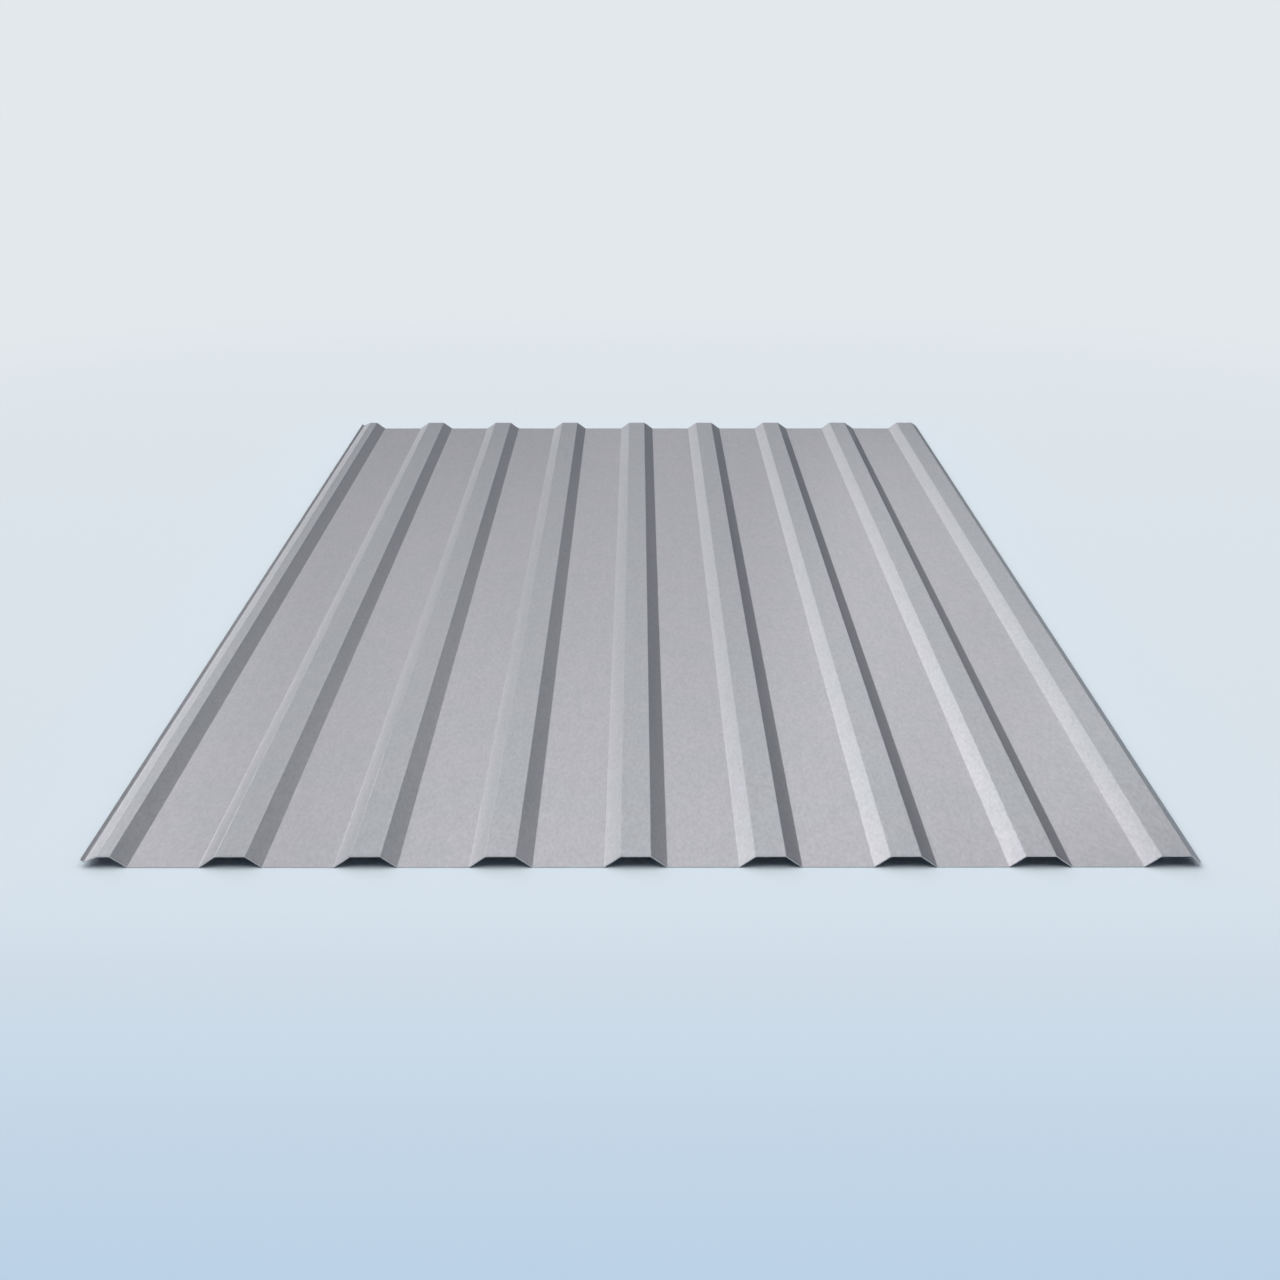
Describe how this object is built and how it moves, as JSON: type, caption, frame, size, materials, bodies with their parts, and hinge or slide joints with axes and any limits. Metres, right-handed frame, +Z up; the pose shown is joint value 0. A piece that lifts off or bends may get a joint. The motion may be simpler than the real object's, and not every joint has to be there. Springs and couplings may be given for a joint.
{
  "type": "corrugated metal sheet",
  "caption": "Galvanised steel roofing and cladding sheet, roll-formed with flat-topped trapezoidal ribs, wide flat pans, an underlap edge with a drip groove and an overlap lip.",
  "frame": {"origin": "under the middle of the sheet, on the plane that the pans rest on", "axes": "+X across the ribs from the underlap edge to the overlap edge, +Y along the ribs, +Z up"},
  "size_m": [1.1406, 2, 0.013],
  "materials": {
    "galvanised_steel": "hot-dip galvanised, satin, fine mottle"
  },
  "bodies": {
    "root": {"ribbed_sheet": "galvanised_steel"}
  },
  "joints": []
}
